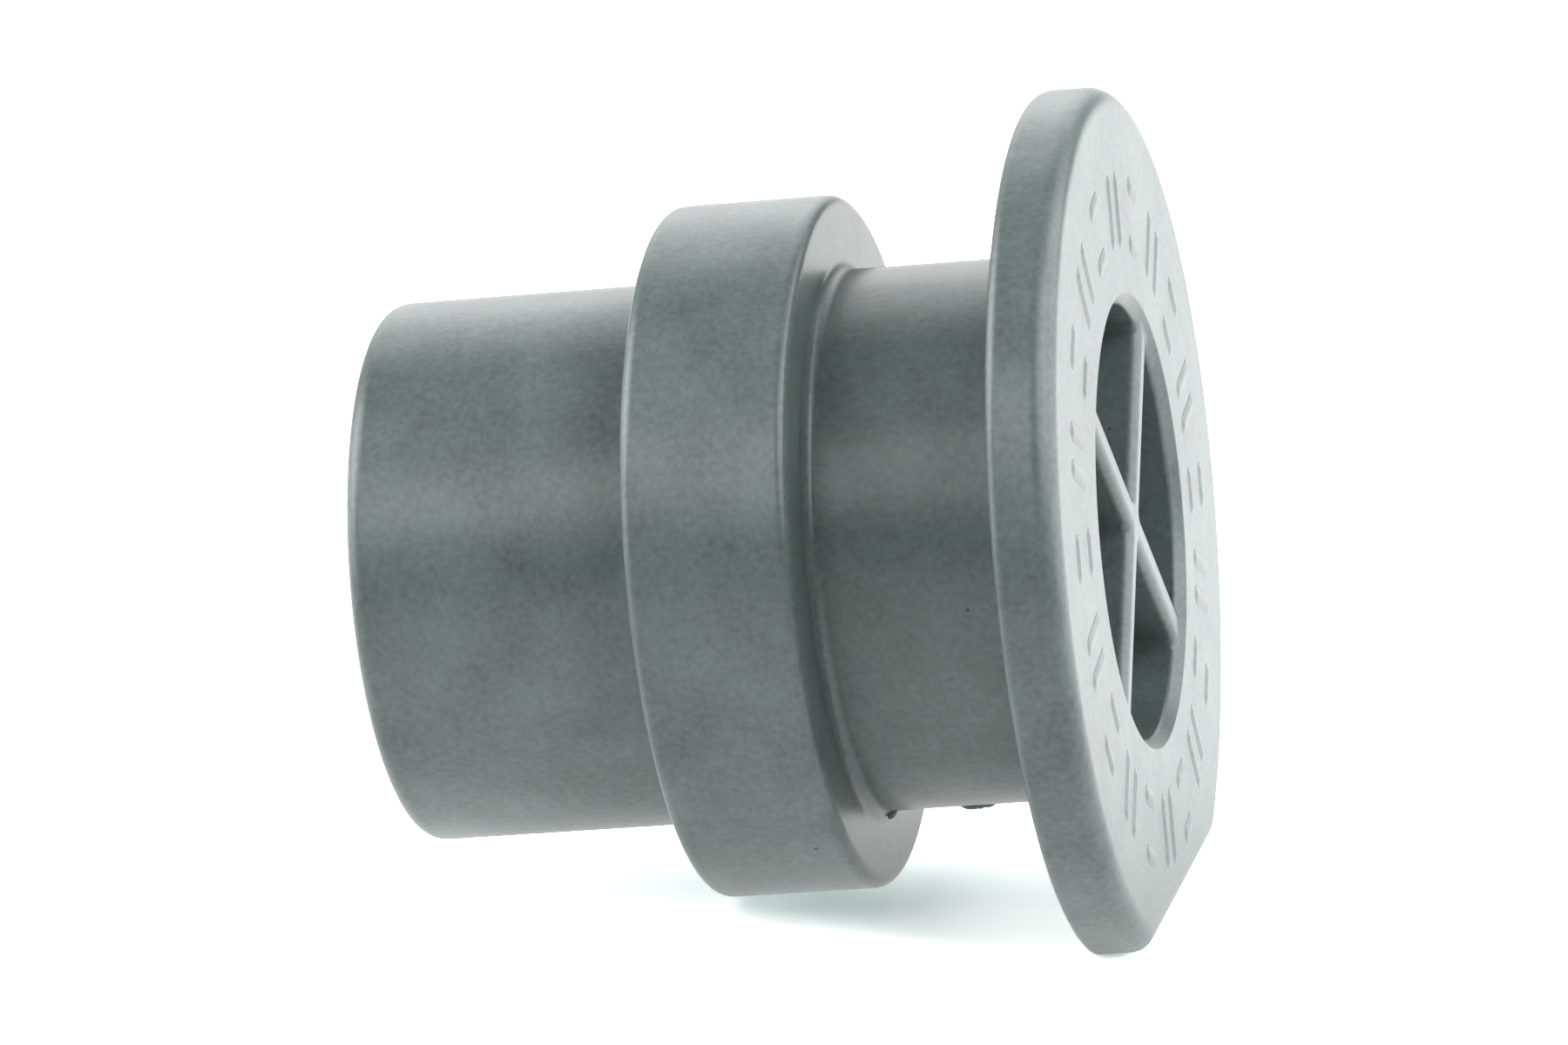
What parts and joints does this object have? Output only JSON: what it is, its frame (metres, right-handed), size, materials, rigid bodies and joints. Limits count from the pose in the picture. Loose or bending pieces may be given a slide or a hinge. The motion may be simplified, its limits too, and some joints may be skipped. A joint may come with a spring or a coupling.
{
  "type": "pipe end plug",
  "caption": "Moulded plastic plug for the end of a pipe: a smooth spigot, a wider collar, a neck and a round flange with a flat, hollow from the flange side with crossed ribs.",
  "frame": {"origin": "on the plug's axis, in the plane of the collar's shoulder that the end of the pipe seats against", "axes": "+X along the axis from the closed tip towards the flange, +Z away from the flat on the flange"},
  "size_m": [0.0276, 0.032, 0.0303],
  "materials": {
    "grey_plastic": "satin, fine moulded grain"
  },
  "bodies": {
    "root": {"plug_body": "grey_plastic"}
  },
  "joints": []
}
